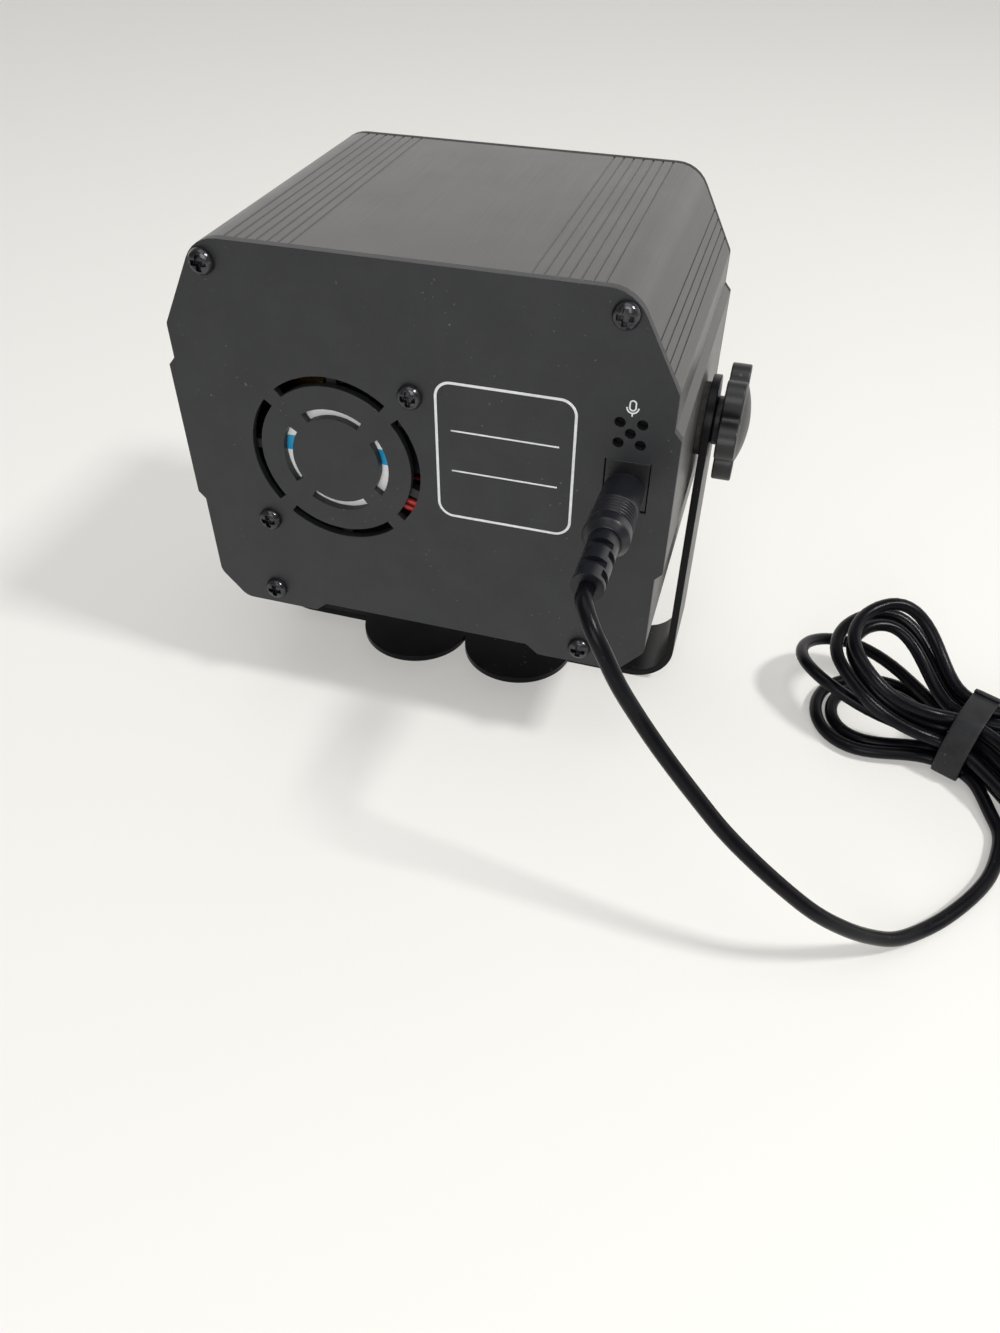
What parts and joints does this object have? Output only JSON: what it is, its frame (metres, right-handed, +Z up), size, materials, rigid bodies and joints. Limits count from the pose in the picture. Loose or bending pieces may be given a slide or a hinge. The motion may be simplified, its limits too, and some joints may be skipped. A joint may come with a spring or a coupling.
{
  "type": "disco projector light",
  "caption": "Boxy disco projector light: extruded black housing with fan, lens barrels and a plugged-in lead, tilting on a U-bracket with star knobs.",
  "frame": {"origin": "on the underside of the bracket's base, in the middle of its centre hole, under the tilt pivot", "axes": "+Z up, +Y the way the light points (the rear plate with the fan faces -Y), +X along the tilt axis towards the power socket's side"},
  "size_m": [0.2803, 0.1605, 0.1288],
  "materials": {
    "black_anodised": "black anodised, satin",
    "black_coat": "fine black powder coat",
    "black_steel": "blackened steel",
    "bright_steel": "bright",
    "brass": "turned",
    "raw_aluminium": "plain",
    "black_plastic": "moulded, fine grain",
    "cable_black": "satin jacket",
    "washer_grey": "pressed fibre and rubber",
    "label_white": "printed film",
    "board_green": "solder mask",
    "capacitor_blue": "shrink sleeve",
    "red_lead": "jacket",
    "white_board": "white solder mask on metal",
    "emitter": "clear over phosphor",
    "clear_glass": "polished",
    "tie_grey": "soft strap",
    "white_plastic": "moulded",
    "grey_capsule": "drawn can",
    "dark_window": "dark red, polished"
  },
  "bodies": {
    "stand": {"bracket": "black_coat", "cord_free": "cable_black", "cord_hank": "cable_black", "cord_tail": "cable_black", "hank_tie": "tie_grey", "usb_grip": "black_plastic", "usb_shell": "bright_steel", "usb_tongue": "white_plastic"},
    "head": {"body_shell": "black_anodised", "rear_plate": "black_coat", "front_plate": "black_coat", "rear_plate_screws": "black_steel", "front_plate_screws": "black_steel", "pivot_inserts": "brass", "friction_washers": "washer_grey", "fan_frame": "black_plastic", "fan_sticker": "label_white", "fan_screws": "black_steel", "fan_nuts": "bright_steel", "fan_leads": "red_lead", "driver_board": "board_green", "board_capacitors": "capacitor_blue", "control_chip": "black_plastic", "dc_jack": "black_plastic", "mic_capsule": "grey_capsule", "optics_plate": "raw_aluminium", "standoffs": "brass", "standoff_screws": "black_steel", "plate_nuts": "bright_steel", "laser_block": "raw_aluminium", "laser_modules": "brass", "laser_leads": "red_lead", "grating_motor": "bright_steel", "led_board": "white_board", "led_emitters": "emitter", "collimator": "white_plastic", "heat_sink": "raw_aluminium", "led_leads": "red_lead", "lens_barrel_left": "black_anodised", "lens_barrel_right": "black_anodised", "barrel_nuts": "black_anodised", "laser_window": "clear_glass", "projection_lens": "clear_glass", "ir_receiver": "dark_window", "dc_plug_barrel": "bright_steel", "dc_plug_grip": "cable_black", "dc_strain_relief": "cable_black"},
    "knob_left": {"knob_left": "black_plastic", "knob_stud_left": "bright_steel"},
    "knob_right": {"knob_right": "black_plastic", "knob_stud_right": "bright_steel"},
    "fan_rotor": {"fan_rotor": "black_plastic"},
    "grating_wheel": {"grating_hub": "black_plastic", "grating_disc": "clear_glass"}
  },
  "joints": [
    {"name": "tilt", "type": "hinge", "parent": "stand", "child": "head", "pos_m": [0, 0, 0.081], "axis": [1, 0, 0], "range_deg": [-90, 60], "deforming": ["cord_free"]},
    {"name": "knob_left_turn", "type": "hinge", "parent": "head", "child": "knob_left", "pos_m": [-0.068, 0, 0.081], "axis": [-1, 0, 0], "range_deg": [0, 540]},
    {"name": "knob_right_turn", "type": "hinge", "parent": "head", "child": "knob_right", "pos_m": [0.068, 0, 0.081], "axis": [1, 0, 0], "range_deg": [0, 540]},
    {"name": "fan_spin", "type": "hinge", "parent": "head", "child": "fan_rotor", "pos_m": [-0.0202, -0.036, 0.0795], "axis": [0, 1, 0], "continuous": true},
    {"name": "grating_spin", "type": "hinge", "parent": "head", "child": "grating_wheel", "pos_m": [-0.027, 0.021, 0.081], "axis": [0, 1, 0], "continuous": true}
  ]
}
